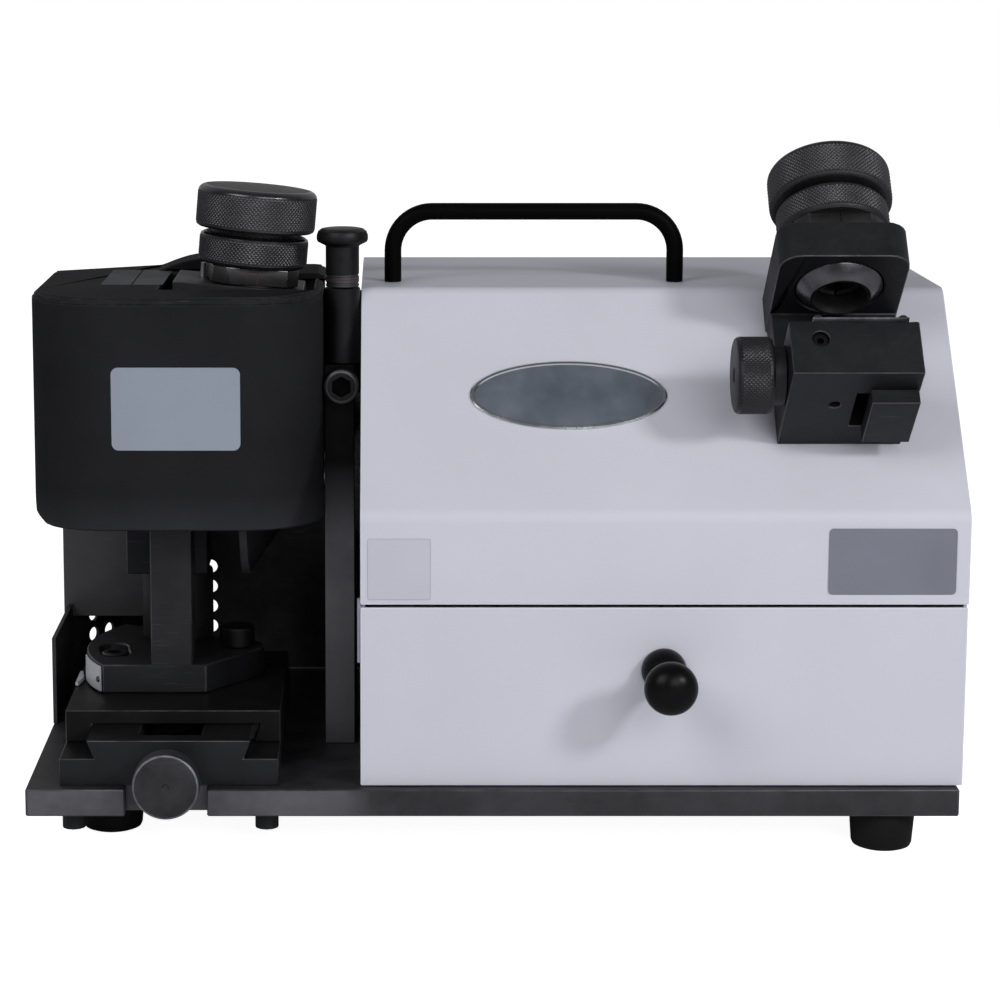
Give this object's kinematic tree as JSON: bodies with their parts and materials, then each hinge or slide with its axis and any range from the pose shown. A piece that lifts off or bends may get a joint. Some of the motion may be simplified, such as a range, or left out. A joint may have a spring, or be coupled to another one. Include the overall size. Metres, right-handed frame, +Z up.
{
  "type": "end mill grinder",
  "caption": "Bench grinder that re-sharpens end mills: dish wheel under a guard, swivel slide, collet chucks, sloped setting fixture and a drawer.",
  "frame": {"origin": "middle of the machine's box, on the bench under the feet", "axes": "+X along the base plate from the wheel guard to the setting fixture, +Y from the drawer front to the back, +Z up"},
  "size_m": [0.344, 0.2216, 0.2573],
  "materials": {
    "ground_plate": "satin",
    "blacked_steel": "satin",
    "knurled_steel": "satin",
    "bright_steel": "satin",
    "scale_metal": "satin",
    "cast_alloy": "matte",
    "winding": "satin",
    "guard_paint": "satin",
    "white_paint": "semi-gloss",
    "black_paint": "gloss",
    "black_plastic": "gloss",
    "rubber": "matte",
    "abrasive": "matte"
  },
  "bodies": {
    "machine": {"base_plate": "ground_plate", "foot_front_left": "rubber", "foot_front_right": "rubber", "foot_rear_left": "rubber", "foot_rear_right": "rubber", "slide_screw_left": "blacked_steel", "slide_screw_right": "blacked_steel", "slide_base": "blacked_steel", "column_plate": "blacked_steel", "column_screw": "blacked_steel", "plunger_body": "knurled_steel", "wheel_guard": "guard_paint", "deflector_panel": "ground_plate", "splash_screen": "ground_plate", "motor_shell": "cast_alloy", "front_bearing": "bright_steel", "motor_stator": "winding", "motor_end_cap": "cast_alloy", "rear_bearing": "bright_steel", "lower_case": "white_paint", "upper_cover": "white_paint", "carry_handle": "black_paint", "switch_frame": "black_plastic", "cable_gland": "black_plastic", "fixture_body": "blacked_steel", "gauge_block": "blacked_steel", "gauge_set_screw": "blacked_steel", "gauge_scale_strip": "scale_metal"},
    "feed_drive": {"feed_screw": "bright_steel", "feed_knob": "knurled_steel"},
    "cross_slide": {"saddle": "blacked_steel", "gib_strip": "ground_plate", "feed_nut": "bright_steel", "pivot_pin": "blacked_steel", "lever_clamp_screw": "blacked_steel", "pointer_plate": "scale_metal"},
    "swivel": {"swivel_lever": "blacked_steel", "lever_scale_strip": "scale_metal", "holder_arm": "blacked_steel", "holder_post": "blacked_steel", "chuck_holder": "blacked_steel", "index_pin": "bright_steel"},
    "left_chuck": {"left_chuck_body": "knurled_steel", "left_collet": "bright_steel"},
    "left_cap": {"left_cap_nut": "knurled_steel"},
    "pull_pin": {"plunger_knob": "knurled_steel"},
    "spindle": {"rotor_shaft": "bright_steel", "grinding_wheel": "abrasive", "wheel_hub": "bright_steel", "wheel_nut": "bright_steel"},
    "tray": {"drawer": "white_paint", "drawer_knob": "black_plastic"},
    "switch": {"switch_rocker": "black_plastic"},
    "jaw": {"gauge_jaw": "knurled_steel"},
    "gauge_drive": {"gauge_knob": "knurled_steel", "gauge_screw": "bright_steel"},
    "right_chuck": {"right_chuck_body": "knurled_steel", "right_collet": "bright_steel"},
    "right_cap": {"right_cap_nut": "knurled_steel"}
  },
  "joints": [
    {"name": "feed_turn", "type": "hinge", "parent": "machine", "child": "feed_drive", "pos_m": [-0.118, -0.0842, 0.0292], "axis": [0, 1, 0], "range_deg": [-1440, 1440]},
    {"name": "slide_travel", "type": "slide", "parent": "machine", "child": "cross_slide", "axis": [0, 1, 0], "range_m": [-0.004, 0.004]},
    {"name": "lever_swivel", "type": "hinge", "parent": "cross_slide", "child": "swivel", "pos_m": [-0.0967, 0.0028, 0.053], "axis": [0, 0, 1], "range_deg": [-6, 6]},
    {"name": "left_chuck_lift", "type": "slide", "parent": "swivel", "child": "left_chuck", "axis": [0.0872, 0, 0.9962], "range_m": [0, 0.03]},
    {"name": "left_cap_turn", "type": "hinge", "parent": "left_chuck", "child": "left_cap", "pos_m": [-0.0905, 0.0038, 0.2012], "axis": [0.0872, 0, 0.9962], "range_deg": [0, 360]},
    {"name": "pin_pull", "type": "slide", "parent": "machine", "child": "pull_pin", "axis": [0, 0, 1], "range_m": [0, 0.008], "stiffness_N_per_m": 500, "springref_m": -0.006},
    {"name": "spindle_spin", "type": "hinge", "parent": "machine", "child": "spindle", "pos_m": [-0.086, 0.0058, 0.1276], "axis": [1, 0, 0], "continuous": true},
    {"name": "drawer_pull", "type": "slide", "parent": "machine", "child": "tray", "axis": [0, -1, 0], "range_m": [0, 0.12]},
    {"name": "switch_rock", "type": "hinge", "parent": "machine", "child": "switch", "pos_m": [0.138, 0.1034, 0.062], "axis": [1, 0, 0], "range_deg": [-14, 0]},
    {"name": "gauge_turn", "type": "hinge", "parent": "machine", "child": "gauge_drive", "pos_m": [0.0952, -0.06984, 0.17593], "axis": [1, 0, 0], "range_deg": [-1080, 1080]},
    {"name": "jaw_travel", "type": "slide", "parent": "machine", "child": "jaw", "axis": [1, 0, 0], "range_m": [-0.003, 0.003]},
    {"name": "right_chuck_turn", "type": "hinge", "parent": "machine", "child": "right_chuck", "pos_m": [0.1268, -0.03635, 0.21611], "axis": [0, 0.6548, 0.7558], "range_deg": [-45, 45]},
    {"name": "right_cap_turn", "type": "hinge", "parent": "right_chuck", "child": "right_cap", "pos_m": [0.1268, -0.03635, 0.21611], "axis": [0, 0.6548, 0.7558], "range_deg": [0, 360]}
  ],
  "couplings": [
    {"joint": "feed_turn", "follows": "slide_travel", "rad_per_m": 6283.1},
    {"joint": "gauge_turn", "follows": "jaw_travel", "rad_per_m": 6283.1}
  ]
}
